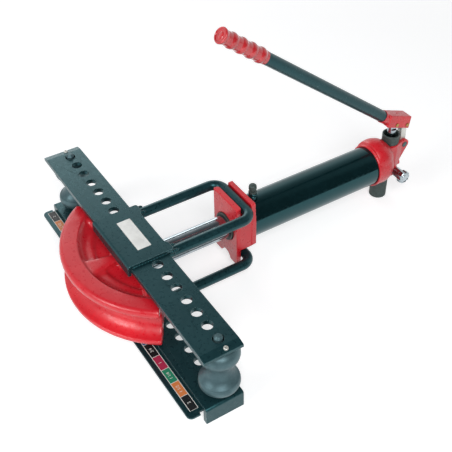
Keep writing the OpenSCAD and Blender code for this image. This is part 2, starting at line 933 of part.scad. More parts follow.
module plunger_seal() {
    color(rubber) translate([plunger_x, 0, housing_top - gland_thread - packing_len]) difference() {
        cylinder(h = packing_len, r = gland_thread_r);
        translate([0, 0, -more]) cylinder(h = packing_len + 2 * more, r = plunger_r + run);
    }
}

module lug_pin() {
    color(steel) bar_y_axis(lug_pin_x, lug_pin_z, lug_t + pin_proud, pivot_r);
}

module rear_foot() {
    foot_r = foot_d / 2;
    color(rubber) translate([foot_x, 0, 0]) rotate_extrude() difference() {
        polygon([
            [0, 0], [foot_r - 2, 0], [foot_r, 2], [foot_r, foot_h - 1], [foot_r - 1, foot_h],
            [0, foot_h]
        ]);
        translate([0, -more]) square([foot_bolt_r, foot_h + 2 * more]);
        translate([0, -more]) square([bolt_head_r + gap, foot_sink + more]);
    }
}

module foot_bolt() {
    color(zinc) translate([foot_x, 0, foot_sink - bolt_head_t]) {
        cylinder(h = bolt_head_t, r = bolt_head_r);
        cylinder(h = bolt_top - foot_sink + bolt_head_t, r = foot_bolt_r);
    }
}

module ram() {
    color(chrome) difference() {
        union() {
            bar_x_axis(former_back - nose_len, nose_len + more, nose_d / 2);
            bar_x_axis(former_back, piston_x - former_back, ram_r);
            bar_x_axis(piston_x - more, piston_len + more, tail_r);
        }
        bar_x_axis(spring_start, piston_x + piston_len - spring_start + more, ram_bore_r);
    }
}

module piston() {
    color(steel) difference() {
        ring_x_axis(piston_x, piston_len, piston_r, tail_r);
        ring_x_axis(piston_x + 12, piston_ring, piston_r + more, piston_r - 3);
    }
}

module piston_seal() {
    color(rubber) ring_x_axis(piston_x + 12, piston_ring, piston_r, piston_r - 3);
}

// Section of the former's rim: rounded outer edges, and inside them a cove and a ledge on
// each face. The cove dips a little below the ledge, so that the two cross at an angle
module rim_outline() {
    half = former_h / 2;
    difference() {
        translate([ledge_r, -half]) square([bend_r - ledge_r, former_h]);
        both_sides_y2d() {
            translate([cove_at, half + cove_up]) circle(cove_r);
            translate([ledge_r - more, half - ledge_drop])
                square([ledge_w + more - 2, ledge_drop + more]);
            difference() {
                translate([bend_r - rim_round, half - rim_round]) square(rim_round + more);
                translate([bend_r - rim_round, half - rim_round]) circle(rim_round);
            }
        }
    }
}

// Point on the former at a radius and an angle from its middle line
function on_arc(r, a) = [arc_x - r * cos(a), r * sin(a)];

// Web between hub and rim, seen from above
module web_outline() {
    hub_edge = hub_d / 2 - 2;
    corner = on_arc(web_reach, bend_half - 2);
    intersection() {
        translate([arc_x, 0]) circle(web_reach);
        both_sides_y2d() polygon([
            [former_back - 2, -more], [former_back - 2, hub_edge], corner,
            [front_end, corner[1]], [front_end, -more]
        ]);
    }
}

// Flared rib along the middle and one along each end of the rim, seen from above
module rib_outline() {
    hub_r = hub_d / 2;
    rib_back = former_back - 3;
    flare_x = former_back - nose_len;
    both_sides_y2d() {
        polygon([
            [rib_back, -more], [rib_back, rib_t / 2], [flare_x, rib_t / 2],
            [arc_x - rib_reach, rib_wide / 2], [arc_x - rib_reach, -more]
        ]);
        polygon([
            [rib_back, hub_r - 14], [rib_back, hub_r - 1], on_arc(rib_reach, bend_half - 1.5),
            on_arc(rib_reach, bend_half - 8), [former_back - 26, hub_r - 12]
        ]);
    }
}

// Cast former: an arc of rim on a web, with ribs to the hub that sits on the ram's nose. The
// groove is cut last, so that no rib stands in it
module former() {
    color(red) difference() {
        union() {
            translate([arc_x, 0, axis_z]) rotate([0, 0, 180 - bend_half])
                rotate_extrude(angle = 2 * bend_half) rim_outline();
            translate([0, 0, axis_z]) {
                linear_extrude(web_t, center = true) web_outline();
                linear_extrude(former_h - 2 * rib_drop, center = true) rib_outline();
            }
            bar_x_axis(former_back - nose_len - hub_cap, nose_len + hub_cap, hub_d / 2);
        }
        bar_x_axis(former_back - nose_len - more, nose_len + 2 * more, nose_d / 2 + run);
        translate([arc_x, 0, axis_z]) rotate_extrude() translate([bend_r, 0]) circle(groove_r);
    }
}

module link_bar() {
    length = norm([link_pin_x - lug_pin_x, link_pin_z - lug_pin_z]);
    lean = atan2(link_pin_x - lug_pin_x, link_pin_z - lug_pin_z);
    color(zinc) difference() {
        slab_y(link_t) {
            translate([lug_pin_x, lug_pin_z]) circle(link_eye_r);
            translate([link_pin_x, link_pin_z]) circle(link_eye_r);
            translate([lug_pin_x, lug_pin_z]) rotate(-lean) translate([-link_w / 2, 0])
                square([link_w, length]);
        }
        bar_y_axis(lug_pin_x, lug_pin_z, link_t + 2 * more, pivot_r + run);
        bar_y_axis(link_pin_x, link_pin_z, link_t + 2 * more, pivot_r + run);
    }
}

// The lever head's own frame, sloped about the link's upper pin
module lever_frame() {
    translate([link_pin_x, 0, link_pin_z]) rotate([0, lever_tilt, 0]) children();
}

// The handle's frame: +Z runs along the handle from the mouth of its socket
module handle_frame() {
    lever_frame() translate([handle_x, 0, handle_z]) rotate([0, handle_bend - 90, 0]) children();
}

module lever_head() {
    pin_x = -arm_x * cos(lever_tilt) - arm_z * sin(lever_tilt);
    color(red) difference() {
        union() {
            lever_frame() slab_y(lever_w) polygon([
                [lever_rear, lever_low], [lever_rear - 6, lever_top],
                [lever_front - 2, lever_top], [lever_front + 2, lever_low]
            ]);
            handle_frame() translate([0, 0, -socket_deep - 1])
                cylinder(h = socket_deep + 1, r1 = socket_r - 1, r2 = socket_r);
        }
        lever_frame() {
            translate([pin_x - eye_r - 4, -lever_slot / 2, lever_low - more])
                cube([lever_rear - pin_x + eye_r + 4 + more, lever_slot,
                    lever_top - lever_roof - lever_low + more]);
            for (x = [0, pin_x]) translate([x, 0, 0]) cylinder(h = lever_top + more, r = 2);
        }
        bar_y_axis(plunger_x, plunger_pin_z, lever_w + 2 * more, pivot_r);
        bar_y_axis(link_pin_x, link_pin_z, lever_w + 2 * more, pivot_r);
        handle_frame() translate([0, 0, -socket_deep])
            cylinder(h = socket_deep + more, r = handle_r);
    }
}

module handle_tube() {
    tube_top = handle_len - grip_cap;
    color(green) handle_frame() difference() {
        translate([0, 0, -socket_deep]) cylinder(h = tube_top + socket_deep, r = handle_r);
        translate([0, 0, -socket_deep - more])
            cylinder(h = tube_top + socket_deep + 2 * more, r = handle_r - handle_t);
    }
}

// Ribbed sleeve. The last rib is cut off flat at the closed end
module handle_grip() {
    plain = 2;
    pitch = (grip_len - 2 * plain) / (grip_ribs - 0.5);
    bulge = pitch / 2;
    color(red) handle_frame() translate([0, 0, handle_len - grip_len]) rotate_extrude() difference() {
        intersection() {
            square([grip_d, grip_len]);
            union() {
                square([handle_r + 1, grip_len]);
                for (i = [0 : grip_ribs - 1])
                    translate([grip_r - bulge, plain + pitch * (i + 0.5)]) circle(bulge);
            }
        }
        translate([0, -more]) square([handle_r, grip_len - grip_cap + more]);
    }
}

module link_pin() {
    color(bronze) bar_y_axis(link_pin_x, link_pin_z, lever_w + pin_proud, pivot_r);
}

module plunger_pin() {
    color(bronze) bar_y_axis(plunger_x, plunger_pin_z, lever_w + pin_proud, pivot_r);
}

// Two flats make the plunger's head a tongue, which fits the lever's slot. Its eye is slotted too,
// because the lever's pin swings through a shallow arc
module pump_plunger() {
    color(chrome) difference() {
        union() {
            translate([plunger_x, 0, plunger_low])
                cylinder(h = plunger_pin_z - plunger_low - 2, r = plunger_r);
            bar_y_axis(plunger_x, plunger_pin_z, plunger_d - 2, eye_r);
        }
        for (side = [-1, 1])
            translate([plunger_x, side * (eye_t + plunger_d) / 2, plunger_pin_z - tongue_len])
                translate([-plunger_d, -plunger_d / 2, 0])
                    cube([2 * plunger_d, plunger_d, tongue_len + plunger_d]);
        for (side = [-1, 1])
            bar_y_axis(plunger_x + side * eye_play, plunger_pin_z, plunger_d + 2, pivot_r + gap);
        translate([plunger_x, 0, plunger_pin_z])
            cube([2 * eye_play, plunger_d + 2, 2 * (pivot_r + gap)], center = true);
    }
}

// The valve's frame: +Z points out of the pump body towards -Y
module valve_frame() {
    translate([valve_x, 0, valve_z]) rotate([90, 0, 0]) children();
}

module valve_stem() {
    shoulder = valve_face + gap;
    color(chrome) valve_frame() rotate_extrude() polygon([
        [0, valve_tip + 1], [valve_thread_r - run, valve_tip + 6], [valve_thread_r - run, shoulder],
        [valve_stem_r, shoulder], [valve_stem_r, shoulder + valve_stem_len],
        [valve_spigot_r, shoulder + valve_stem_len],
        [valve_spigot_r, shoulder + valve_stem_len + 8], [0, shoulder + valve_stem_len + 8]
    ]);
}

module valve_knob() {
    color(chrome) valve_frame() translate([0, 0, valve_face + gap + valve_stem_len]) difference() {
        intersection() {
            cylinder(h = knob_len, d = knob_d * 1.06, $fn = 8);
            rotate_extrude() polygon([
                [0, 0], [knob_d / 2 - 1, 0], [knob_d / 2 + 0.4, 2], [knob_d / 2 + 0.4, knob_len - 2],
                [knob_d / 2 - 1, knob_len], [0, knob_len]
            ]);
        }
        translate([0, 0, -more]) cylinder(h = 8 + more, r = valve_spigot_r);
    }
}

translate([-middle_x, 0, 0]) {
    lower_wing();
    lower_saddle();
    lower_u_bar();
    label_rail();
    near_roller_pin();
    far_roller_pin();
    yoke_block();
    gland_nut();
    rod_wiper();
    rod_seal();
    guide_bush();
    cylinder_tube();
    inner_barrel();
    front_o_ring();
    rear_o_ring();
    vent_boss();
    pump_body();
    pump_gland();
    plunger_seal();
    lug_pin();
    outlet_ball();
    outlet_spring();
    outlet_retainer();
    inlet_ball();
    spring_anchor();
    rear_foot();
    foot_bolt();
    ram();
    piston();
    piston_seal();
    return_spring();
    former();
    upper_wing();
    upper_saddle();
    upper_u_bar();
    wing_end_screws();
    near_roller();
    near_roller_bush();
    far_roller();
    far_roller_bush();
    link_bar();
    lever_head();
    handle_tube();
    handle_grip();
    link_pin();
    plunger_pin();
    pump_plunger();
    valve_stem();
    valve_knob();
    vent_screw();
}
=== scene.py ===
import json
import math

import bmesh
import bpy
from mathutils import Matrix, Vector

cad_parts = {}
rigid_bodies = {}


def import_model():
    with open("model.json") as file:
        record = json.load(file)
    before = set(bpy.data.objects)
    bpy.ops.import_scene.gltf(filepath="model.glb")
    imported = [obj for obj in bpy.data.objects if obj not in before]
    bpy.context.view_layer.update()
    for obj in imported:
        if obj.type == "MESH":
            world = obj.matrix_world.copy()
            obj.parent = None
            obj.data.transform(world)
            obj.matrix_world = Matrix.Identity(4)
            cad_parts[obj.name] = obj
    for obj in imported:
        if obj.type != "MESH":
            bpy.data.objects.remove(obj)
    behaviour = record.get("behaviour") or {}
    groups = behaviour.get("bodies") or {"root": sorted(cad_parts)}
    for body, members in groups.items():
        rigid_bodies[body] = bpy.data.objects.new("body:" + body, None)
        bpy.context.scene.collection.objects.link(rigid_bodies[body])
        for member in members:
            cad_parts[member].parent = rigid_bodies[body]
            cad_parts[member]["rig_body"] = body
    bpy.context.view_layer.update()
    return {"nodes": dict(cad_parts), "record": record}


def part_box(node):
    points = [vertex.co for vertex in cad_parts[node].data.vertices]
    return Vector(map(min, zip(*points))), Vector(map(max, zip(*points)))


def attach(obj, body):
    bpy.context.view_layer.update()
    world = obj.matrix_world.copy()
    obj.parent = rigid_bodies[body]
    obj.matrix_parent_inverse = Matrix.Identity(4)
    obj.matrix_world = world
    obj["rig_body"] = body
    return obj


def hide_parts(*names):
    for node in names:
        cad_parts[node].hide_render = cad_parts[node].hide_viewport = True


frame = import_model()

# Looks of the hydraulic pipe bender, in the row frame: +X runs from the former to the pump, +Y
# along the wings and +Z up. Blender counts in metres. The sizes of turned, bent and welded pieces
# are in millimetres, as in the CAD source, which counts X from the line of pin holes. at(),
# lathe(), bead() and digits() turn them into metres.
MIDDLE_X = 266.0  # from the line of pin holes to the middle of the machine
AXIS_Z = 97.5  # height of the ram's axis
SADDLE_TOP = 76.0  # top face of the upper saddle above the axis
HOLE_FIRST = 89.5  # innermost pin hole from the middle
HOLE_PITCH = 34.6
nodes = frame["nodes"]
record = frame["record"]
scene = bpy.context.scene


def at(x, y, z):
    """A point of the CAD source, in millimetres from the line of pin holes, in the row frame."""
    return Vector(((x - MIDDLE_X) / 1000, y / 1000, z / 1000))


def srgb(r, g, b):
    """A colour given as it shows on a screen, 0 to 255, as Blender's linear colour."""
    def linear(v):
        v = v / 255
        return v / 12.92 if v <= 0.04045 else ((v + 0.055) / 1.055) ** 2.4
    return (linear(r), linear(g), linear(b), 1.0)


def shade(colour, share):
    """A colour made darker or paler, still opaque."""
    return tuple(v * share for v in colour[:3]) + (1.0,)


def add_object(name, data):
    made = bpy.data.objects.new(name, data)
    scene.collection.objects.link(made)
    return made


# Camera, fitted to the photograph: angles in degrees, place in metres, lens in millimetres
AZIMUTH, ELEVATION, ROLL = -31.48, 41.49, -1.01
CAMERA_PLACE = (-0.7080, -1.0496, 1.1845)
LENS, SENSOR = 64.41, 36


def make_camera():
    azimuth, elevation, roll = (math.radians(v) for v in (AZIMUTH, ELEVATION, ROLL))
    back = Vector((
        math.sin(azimuth) * math.cos(elevation),
        -math.cos(azimuth) * math.cos(elevation),
        math.sin(elevation),
    ))
    level = Vector((math.cos(azimuth), math.sin(azimuth), 0))
    above = back.cross(level)
    right = level * math.cos(roll) + above * math.sin(roll)
    up = above * math.cos(roll) - level * math.sin(roll)
    data = bpy.data.cameras.new("camera")
    data.sensor_width = SENSOR
    data.lens = LENS
    data.clip_start = 0.05
    data.clip_end = 50
    camera = add_object("camera", data)
    turn = Matrix((right, up, back)).transposed().to_4x4()
    camera.matrix_world = Matrix.Translation(CAMERA_PLACE) @ turn
    scene.camera = camera


class Graph:
    """One material and short ways to add nodes to it."""

    samples = 6

    def __init__(self, name):
        self.material = bpy.data.materials.new(name)
        self.material.use_nodes = True
        self.tree = self.material.node_tree
        self.shader = self.tree.nodes["Principled BSDF"]
        self.where = self.add("ShaderNodeTexCoord").outputs["Object"]

    def add(self, kind, inputs=None, **settings):
        node = self.tree.nodes.new(kind)
        for key, value in settings.items():
            setattr(node, key, value)
        for key, value in (inputs or {}).items():
            self.put(node.inputs[key], value)
        return node

    def put(self, socket, value):
        if isinstance(value, bpy.types.NodeSocket):
            self.tree.links.new(value, socket)
        else:
            socket.default_value = value

    def set(self, **values):
        for key, value in values.items():
            self.put(self.shader.inputs[key.replace("_", " ")], value)

    def noise(self, scale, detail=4.0, rough=0.55, where=None):
        return self.add("ShaderNodeTexNoise", {
            "Vector": where or self.where, "Scale": scale, "Detail": detail, "Roughness": rough,
        }).outputs["Fac"]

    def lines(self, axis, scale, detail=3.0):
        """Noise that changes along one axis only, as on a turned or ground surface."""
        part = self.add("ShaderNodeSeparateXYZ", {"Vector": self.where}).outputs[axis]
        return self.add("ShaderNodeTexNoise", {
            "W": part, "Scale": scale, "Detail": detail, "Roughness": 0.6,
        }, noise_dimensions="1D").outputs["Fac"]

    def stretched(self, size):
        """The object's coordinates, scaled along each axis."""
        return self.add("ShaderNodeMapping", {
            "Vector": self.where, "Scale": size,
        }).outputs["Vector"]

    def span(self, value, low, high, to_low=0.0, to_high=1.0):
        """value, eased from the range of low and high to that of to_low and to_high."""
        return self.add("ShaderNodeMapRange", {
            "Value": value, "From Min": low, "From Max": high, "To Min": to_low, "To Max": to_high,
        }, interpolation_type="SMOOTHSTEP").outputs["Result"]

    def math(self, operation, a, b=0.0):
        return self.add("ShaderNodeMath", {0: a, 1: b}, operation=operation).outputs[0]

    def mix(self, share, a, b):
        node = self.add("ShaderNodeMix", data_type="RGBA")
        self.put(node.inputs["Factor"], share)
        self.put(node.inputs["A"], a)
        self.put(node.inputs["B"], b)
        return node.outputs["Result"]

    def edge(self, radius, low=0.985, high=0.8):
        """1 along the edges of the shape, 0 on its open faces."""
        round_normal = self.add("ShaderNodeBevel", {"Radius": radius}, samples=self.samples)
        normal = self.add("ShaderNodeNewGeometry").outputs["Normal"]
        dot = self.add("ShaderNodeVectorMath", {
            0: round_normal.outputs["Normal"], 1: normal,
        }, operation="DOT_PRODUCT").outputs["Value"]
        return self.span(dot, low, high)

    def shaded_in_corners(self, base, distance, share, corner_shade):
        """base darkened deep in the shape's own corners, a painted shade."""
        hollow = self.add(
            "ShaderNodeAmbientOcclusion", {"Distance": distance}, samples=self.samples, only_local=True)
        depth = self.span(hollow.outputs["AO"], 0.85, 0.35)
        return self.mix(self.math("MULTIPLY", depth, share), base, corner_shade)

    def bump(self, height, distance, strength=1.0, under=None):
        inputs = {"Height": height, "Distance": distance, "Strength": strength}
        if under is not None:
            inputs["Normal"] = under
        return self.add("ShaderNodeBump", inputs).outputs["Normal"]


# Materials: each noise is a scale, a detail and a roughness, and each distance is in metres
GREEN_SHEEN = (0.3, 0.9, 1.0, 1.0)
BARE_IRON = srgb(92, 88, 86)


def paint(name, colour, dark, worn, rough, peel, edge_wear_and_highlight, marks, gloss):
    """Sprayed paint on plate or bar: orange peel, cloudy tone, a few scratches and painted shade in
    corners. Its edges are paled partly by rubbing, partly by a painted highlight. Its reflections
    are tinted, as in the photograph."""
    g = Graph(name)
    cloud = g.span(g.noise(14, 5, 0.6), 0.35, 0.7)
    # Darker deep in the corners: painted shade.
    base = g.shaded_in_corners(g.mix(cloud, dark, colour), 0.012, 0.6, shade(dark, 0.45))
    # Pale edges: partly rubbed paint, partly a painted highlight.
    broken = g.span(g.noise(420, 4, 0.7), 0.36, 0.56)
    rub_and_highlight = g.math("MULTIPLY", g.edge(0.0015), g.math("MULTIPLY", broken, edge_wear_and_highlight))
    streaks = g.stretched((1.0, 18.0, 18.0))
    scratch = g.span(g.noise(26, 2, 0.5, streaks), 0.735, 0.76, 0.0, marks)
    g.set(Base_Color=g.mix(g.math("MAXIMUM", rub_and_highlight, scratch), base, worn))
    g.set(Roughness=g.span(g.noise(160, 3, 0.5), 0.3, 0.7, rough - 0.06, rough + 0.08))
    g.set(Normal=g.bump(g.noise(950, 2, 0.5), 0.00012, peel))
    g.set(Specular_IOR_Level=gloss, Specular_Tint=GREEN_SHEEN)
    return g.material


def cast_paint(name, colour, dark, pale, rough):
    """Thick paint on a sand casting: grainy skin, chipped edges, hollows darkened with painted shade,
    and edges paled partly by rubbing, partly by a painted highlight.
    """
    g = Graph(name)
    cloud = g.span(g.noise(11, 4, 0.6), 0.36, 0.68)
    # Darker in the hollows: painted shade.
    base = g.shaded_in_corners(g.mix(cloud, dark, colour), 0.02, 0.55, shade(dark, 0.5))
    # Pale edges: partly rubbed paint, partly a painted highlight.
    edge = g.edge(0.0016, 0.965, 0.75)
    broken = g.span(g.noise(230, 4, 0.65), 0.42, 0.6)
    base = g.mix(g.math("MULTIPLY", g.math("MULTIPLY", edge, broken), 0.55), base, pale)
    chip = g.math("MULTIPLY", edge, g.span(g.noise(90, 5, 0.7), 0.69, 0.73))
    g.set(Base_Color=g.mix(chip, base, BARE_IRON))
    g.set(Roughness=g.span(g.noise(120, 3, 0.5), 0.3, 0.7, rough - 0.08, rough + 0.1))
    skin_normal = g.bump(g.noise(210, 3, 0.5), 0.0003, 0.3)
    g.set(Normal=g.bump(g.noise(1100, 2, 0.5), 0.00006, 0.3, skin_normal))
    g.set(Coat_Weight=0.2, Coat_Roughness=0.2, Specular_IOR_Level=0.65)
    return g.material


def metal(name, colour, tint, rough, axis, lines, metallic=1.0, groove=0.25):
    """Turned or ground metal: fine lines across one axis, dull smudges and painted shade in its corners.
    """
    g = Graph(name)
    smudge = g.span(g.noise(30, 4, 0.6), 0.35, 0.7)
    # Darker deep in the corners: painted shade.
    base = g.shaded_in_corners(g.mix(smudge, tint, colour), 0.01, 0.5, shade(tint, 0.4))
    g.set(Base_Color=base, Metallic=metallic)
    fine = g.lines(axis, lines)
    dull = g.span(smudge, 0.0, 1.0, rough + 0.05, rough)
    g.set(Roughness=g.math("ADD", g.span(fine, 0.3, 0.7, -0.04, 0.05), dull))
    g.set(Normal=g.bump(fine, 0.0002, groove))
    return g.material


def rough_dark(name, colour, pale, rough, metallic=0.4):
    """Blackened steel with a dry, speckled face and rubbed crests."""
    g = Graph(name)
    speckle = g.span(g.noise(380, 5, 0.7), 0.38, 0.66)
    base = g.mix(speckle, colour, shade(colour, 1.6))
    base = g.mix(g.math("MULTIPLY", g.edge(0.0006), 0.6), base, pale)
    g.set(Base_Color=base, Metallic=metallic)
    g.set(Roughness=g.span(speckle, 0.0, 1.0, rough + 0.1, rough - 0.06))
    g.set(Normal=g.bump(g.noise(700, 3, 0.6), 0.0003, 0.5))
    return g.material


def plastic(name, colour, dark, rough, coat=0.0):
    """Moulded plastic: fine leathery grain, rubbed to a shine in patches, painted shade in its corners.
    """
    g = Graph(name)
    cloud = g.span(g.noise(40, 4, 0.6), 0.35, 0.7)
    # Darker deep in the corners: painted shade.
    g.set(Base_Color=g.shaded_in_corners(g.mix(cloud, dark, colour), 0.008, 0.6, shade(dark, 0.5)))
    g.set(Roughness=g.span(g.noise(60, 4, 0.6), 0.3, 0.7, rough - 0.1, rough + 0.08))
    g.set(Normal=g.bump(g.noise(1400, 3, 0.6), 0.0001, 0.3))
    g.set(Coat_Weight=coat, Coat_Roughness=0.06)
    return g.material


materials = {
    # worn colours scratches and the pale edges of paint, which are partly rubbed and partly a painted
    # highlight.
    "green_paint": paint(
        "satin_green", srgb(21, 46, 50), srgb(16, 39, 43), worn=srgb(158, 186, 188),
        rough=0.32, peel=0.3, edge_wear_and_highlight=0.9, marks=0.2, gloss=0.7),
    "gloss_green": paint(
        "gloss_green", srgb(8, 28, 31), srgb(6, 24, 26), worn=srgb(70, 96, 96),
        rough=0.14, peel=0.04, edge_wear_and_highlight=0.25, marks=0.0, gloss=0.9),
    # pale colours the castings' edges, partly rubbed paint and partly a painted highlight.
    "red_casting": cast_paint(
        "red_casting", srgb(222, 36, 48), srgb(206, 26, 40), pale=srgb(236, 120, 120), rough=0.33),
    "chrome": metal(
        "chrome", srgb(186, 196, 202), srgb(160, 172, 178), rough=0.1, axis="X", lines=900, groove=0.08),
    "steel": metal(
        "turned_steel", srgb(86, 114, 119), srgb(68, 94, 100), rough=0.4, axis="Z", lines=420,
        metallic=0.5, groove=0.4),
    "dark_steel": rough_dark(
        "blackened_steel", srgb(62, 74, 72), pale=srgb(150, 158, 152), rough=0.5),
    "bronze": metal(
        "bronze", srgb(190, 158, 100), srgb(160, 128, 76), rough=0.32, axis="Y", lines=600),
    "zinc": metal(
        "zinc", srgb(226, 226, 220), srgb(204, 204, 198), rough=0.42, axis="Z", lines=500, metallic=0.6),
    "rubber": plastic("rubber", srgb(34, 38, 38), srgb(26, 30, 30), rough=0.6),
    "red_grip": plastic("red_grip", srgb(206, 44, 50), srgb(188, 34, 42), rough=0.24, coat=0.9),
}


def dress_nodes():
    """Gives every CAD node the material of its slot in the record."""
    for part in record["subparts"]:
        node = nodes[part["node"]]
        node.data.materials.clear()
        node.data.materials.append(materials[part["material_slot"]])


# Studio: soft lamps in a dim room, over a floor that shows white to the camera and in reflections.
# A lamp is a name, a place and a size in metres, and a power in watts
LAMPS = (
    ("key", (-0.9, -2.2, 2.3), 1.5, 59),
    ("left", (-2.4, -0.2, 1.5), 1.3, 30),
    ("back", (0.4, 2.6, 1.2), 1.5, 14),
)
LAMP_AIM = Vector((0, 0, 0.1))
FAR_SIDE = (0.52, 0.85, 0.0)
WHITE = (1.0, 1.0, 1.0, 1.0)
FLOOR_HALF, FLOOR_DROP = 9, 0.0006


class Surroundings(Graph):
    """The world's nodes, made in the same short ways. where is the way a ray goes."""

    def __init__(self, name):
        world = bpy.data.worlds.new(name)
        scene.world = world
        world.use_nodes = True
        self.tree = world.node_tree
        self.where = self.add("ShaderNodeTexCoord").outputs["Generated"]


def make_world():
    """A dim room. The camera sees white. Mirrored rays see a white backdrop behind the machine,
    which fades out overhead and leaves the camera's own side dark."""
    g = Surroundings("studio")
    height = g.add("ShaderNodeSeparateXYZ", {"Vector": g.where}).outputs["Z"]
    behind = g.add("ShaderNodeVectorMath", {
        0: g.where, 1: FAR_SIDE,
    }, operation="DOT_PRODUCT").outputs["Value"]
    room = g.mix(g.span(height, 0.1, 0.6), (0.42, 0.43, 0.44, 1), (0.1, 0.11, 0.12, 1))
    backdrop = g.mix(g.span(height, 0.45, 0.97), (0.86, 0.86, 0.86, 1), (0.08, 0.085, 0.09, 1))
    mirrored = g.mix(g.span(behind, -0.2, 0.2), (0.06, 0.065, 0.07, 1), backdrop)
    path = g.add("ShaderNodeLightPath")
    seen = g.mix(path.outputs["Is Glossy Ray"], room, mirrored)
    seen = g.mix(path.outputs["Is Camera Ray"], seen, WHITE)
    g.put(g.tree.nodes["Background"].inputs["Color"], seen)


def make_lamps():
    for name, place, size, power in LAMPS:
        data = bpy.data.lights.new(name, "AREA")
        data.size = size
        data.energy = power
        lamp = add_object(name, data)
        lamp.location = place
        aim = LAMP_AIM - Vector(place)
        lamp.rotation_euler = aim.to_track_quat("-Z", "Y").to_euler()


def make_floor():
    """A pale floor that glows for the camera and for mirrored rays, more so far away."""
    bm = bmesh.new()
    bmesh.ops.create_grid(bm, x_segments=8, y_segments=8, size=FLOOR_HALF)
    floor = add_object("floor", to_mesh("floor", bm))
    floor.location = (0, 0, -FLOOR_DROP)
    g = Graph("floor")
    g.set(Base_Color=(0.7, 0.7, 0.7, 1.0), Roughness=0.9, Emission_Color=WHITE)
    path = g.add("ShaderNodeLightPath")
    seen = g.math("MAXIMUM", path.outputs["Is Camera Ray"], path.outputs["Is Glossy Ray"])
    away = g.add("ShaderNodeVectorMath", {0: g.where}, operation="LENGTH").outputs["Value"]
    g.set(Emission_Strength=g.math("MULTIPLY", seen, g.span(away, 1.0, 3.0, 0.58, 0.9)))
    g.material.cycles.emission_sampling = "NONE"
    floor.data.materials.append(g.material)


# Mesh tools
def to_mesh(name, bm):
    mesh = bpy.data.meshes.new(name)
    bm.to_mesh(mesh)
    bm.free()
    return mesh


def add_piece(name, bm, body, slot, smooth=35, material=None):
    """Makes a shown piece from bm, which rides on a CAD body, with sharp edges above an angle.
    It has the slot's material, or one of its own."""
    bmesh.ops.recalc_face_normals(bm, faces=bm.faces)
    mesh = to_mesh(name, bm)
    mesh.shade_smooth()
    mesh.set_sharp_from_angle(angle=math.radians(smooth))
    mesh.materials.append(material or materials[slot])
    piece = add_object(name, mesh)
    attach(piece, body)
    return piece


def close_rings(bm, rings):
    """Joins closed rings of as many points, one after another, and shuts both ends."""
    count = len(rings[0])
    for here, after in zip(rings, rings[1:]):
        for i in range(count):
            j = (i + 1) % count
            bm.faces.new((here[i], here[j], after[j], after[i]))
    bm.faces.new(rings[0])
    bm.faces.new(rings[-1])


def lathe(bm, profile, place, wave=None, segments=48):
    """Turns a closed profile of (radius, height) in millimetres round Z into bm and puts it at
    place. wave gives a radius of its own from radius, height and angle."""
    def vertex(r, z, angle):
        spot = Vector((r * math.cos(angle), r * math.sin(angle), z)) / 1000
        return bm.verts.new(place @ spot)

    poles = {j: vertex(0, z, 0) for j, (r, z) in enumerate(profile) if r == 0}
    rings = []
    for i in range(segments):
        angle = 2 * math.pi * i / segments
        ring = []
        for j, (r, z) in enumerate(profile):
            if wave:
                r = wave(r, z, angle)
            ring.append(poles[j] if j in poles else vertex(r, z, angle))
        rings.append(ring)
    count = len(profile)
    for i in range(segments):
        here, after = rings[i], rings[(i + 1) % segments]
        for j in range(count):
            k = (j + 1) % count
            corners = list(dict.fromkeys((here[j], here[k], after[k], after[j])))
            if len(corners) > 2:
                bm.faces.new(corners)


def hexagon(flat, angle):
    """The radius, at an angle, of a hexagon whose sides lie flat from its middle."""
    off = (angle + math.pi / 6) % (math.pi / 3) - math.pi / 6
    return flat / math.cos(off)


def rounded_rectangle(width, length, radius, steps=6):
    points = []
    for cx, cy, start in ((1, 1, 0), (-1, 1, 90), (-1, -1, 180), (1, -1, 270)):
        for i in range(steps + 1):
            a = math.radians(start + 90 * i / steps)
            points.append((
                cx * (width / 2 - radius) + radius * math.cos(a),
                cy * (length / 2 - radius) + radius * math.sin(a),
            ))
    return points


def baked(work):
    """The mesh of an object with its modifiers applied. The object itself is removed."""
    shown = work.evaluated_get(bpy.context.evaluated_depsgraph_get())
    made = bpy.data.meshes.new_from_object(shown)
    bpy.data.objects.remove(work)
    return made


def applied(mesh, *modifiers, weight=None):
    """A new mesh from mesh and modifiers, each a type with its settings. weight, a function of a
    point, fills the vertex group FILLET, which the settings can name."""
    work = add_object("work", mesh)
    if weight:
        group = work.vertex_groups.new(name=FILLET)
        for vertex in mesh.vertices:
            share = weight(vertex.co)
            if share > 0:
                group.add([vertex.index], share, "REPLACE")
    for kind, settings in modifiers:
        modifier = work.modifiers.new(kind, kind)
        for key, value in settings.items():
            setattr(modifier, key, value)
    return baked(work)


# Castings: the CAD solid with the soft edges and fillets of a sand casting, in metres
WELD_GAP = 0.00002
FILLET, FILLET_ROUNDS = "fillet", 60
FACES_KEPT = 0.25


def former_pockets():
    """Says where the former's pockets lie: 1 inside the rim, 0 on the rim and round the ram's nose."""
    bend_r, rim_w, fade, nose_room = 0.212, 0.034, 0.008, 0.026
    arc_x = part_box("former")[0][0] + bend_r

    def weight(point):
        inside = bend_r - rim_w - math.hypot(point.x - arc_x, point.y)
        clear = math.hypot(point.y, point.z - AXIS_Z / 1000) - nose_room
        return min(1.0, max(0.0, min(inside, clear) / fade))
    return weight


